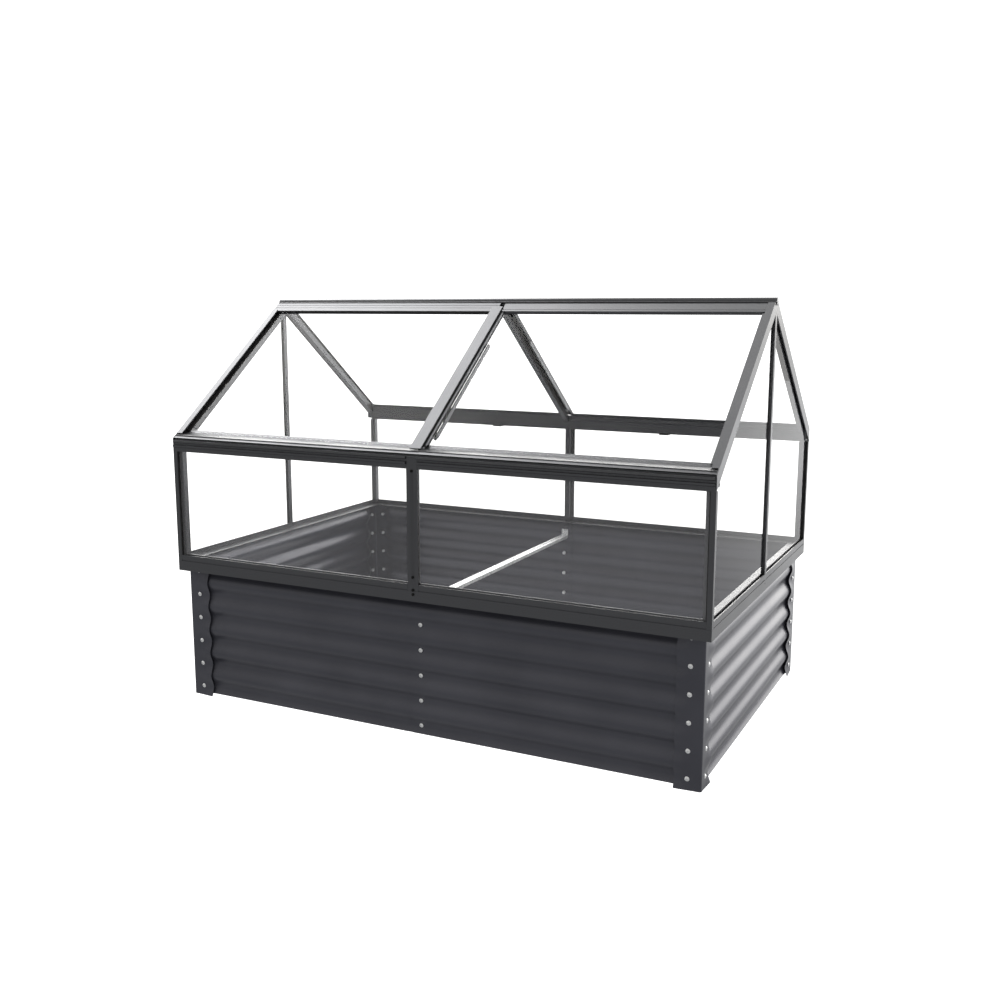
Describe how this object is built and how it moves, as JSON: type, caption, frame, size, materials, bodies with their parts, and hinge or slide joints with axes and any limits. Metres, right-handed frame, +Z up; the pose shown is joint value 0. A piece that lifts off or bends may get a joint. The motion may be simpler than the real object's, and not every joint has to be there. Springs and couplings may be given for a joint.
{
  "type": "cold frame",
  "caption": "Cold frame: corrugated steel raised bed under a glazed gable-roofed house, with hinged roof lids and their stays.",
  "frame": {"origin": "centre of the footprint, on the ground under the bed", "axes": "+X along the ridge to the right, +Y to the back, +Z up"},
  "size_m": [1.546, 1.034, 1.1298],
  "materials": {
    "bed_steel": "satin coated corrugated steel, charcoal",
    "frame_aluminium": "satin powder-coated aluminium, anthracite",
    "zinc_steel": "bright zinc plate",
    "glass": "clear toughened glass",
    "rubber": "matt black EPDM",
    "black_steel": "black oxide",
    "black_plastic": "moulded black nylon"
  },
  "bodies": {
    "frame": {"bed_corner_front_left": "bed_steel", "bed_corner_front_right": "bed_steel", "bed_corner_back_left": "bed_steel", "bed_corner_back_right": "bed_steel", "bed_panel_front_left": "bed_steel", "bed_panel_front_right": "bed_steel", "bed_panel_back_left": "bed_steel", "bed_panel_back_right": "bed_steel", "bed_panel_left": "bed_steel", "bed_panel_right": "bed_steel", "tie_bar": "zinc_steel", "bed_bolts": "zinc_steel", "bed_nuts": "zinc_steel", "sill_front": "frame_aluminium", "sill_back": "frame_aluminium", "sill_left": "frame_aluminium", "sill_right": "frame_aluminium", "upright_front_left": "frame_aluminium", "upright_front_right": "frame_aluminium", "upright_back_left": "frame_aluminium", "upright_back_right": "frame_aluminium", "mid_post_front": "frame_aluminium", "mid_post_back": "frame_aluminium", "post_cap_front": "frame_aluminium", "post_cap_back": "frame_aluminium", "eave_front": "frame_aluminium", "eave_back": "frame_aluminium", "ridge": "frame_aluminium", "end_rafter_front_left": "frame_aluminium", "end_rafter_front_right": "frame_aluminium", "end_rafter_back_left": "frame_aluminium", "end_rafter_back_right": "frame_aluminium", "mid_rafter_front": "frame_aluminium", "mid_rafter_back": "frame_aluminium", "rafter_cap_front": "frame_aluminium", "rafter_cap_back": "frame_aluminium", "gable_mullion_left": "frame_aluminium", "gable_mullion_right": "frame_aluminium", "wall_glass_front_left": "glass", "wall_glass_front_right": "glass", "wall_glass_back_left": "glass", "wall_glass_back_right": "glass", "roof_glass_front": "glass", "roof_glass_back": "glass", "gable_glass_left_front": "glass", "gable_glass_left_back": "glass", "gable_glass_right_front": "glass", "gable_glass_right_back": "glass", "glazing_seals": "rubber", "cap_screws": "black_steel", "eave_clips": "black_plastic"},
    "lid_front": {"lid_frame_front": "frame_aluminium", "lid_glass_front": "glass"},
    "lid_back": {"lid_frame_back": "frame_aluminium", "lid_glass_back": "glass"},
    "stay_front": {"stay_front": "frame_aluminium"},
    "stay_back": {"stay_back": "frame_aluminium"}
  },
  "joints": [
    {"name": "lid_front_hinge", "type": "hinge", "parent": "frame", "child": "lid_front", "pos_m": [0.3845, -0.0086, 1.11505], "axis": [-1, 0, 0], "range_deg": [0, 60]},
    {"name": "stay_front_pivot", "type": "hinge", "parent": "lid_front", "child": "stay_front", "pos_m": [0.026, -0.42572, 0.78346], "axis": [-1, 0, 0], "range_deg": [0, 100]},
    {"name": "lid_back_hinge", "type": "hinge", "parent": "frame", "child": "lid_back", "pos_m": [0.3845, 0.0086, 1.11505], "axis": [1, 0, 0], "range_deg": [0, 60]},
    {"name": "stay_back_pivot", "type": "hinge", "parent": "lid_back", "child": "stay_back", "pos_m": [0.026, 0.42572, 0.78346], "axis": [1, 0, 0], "range_deg": [0, 100]}
  ]
}
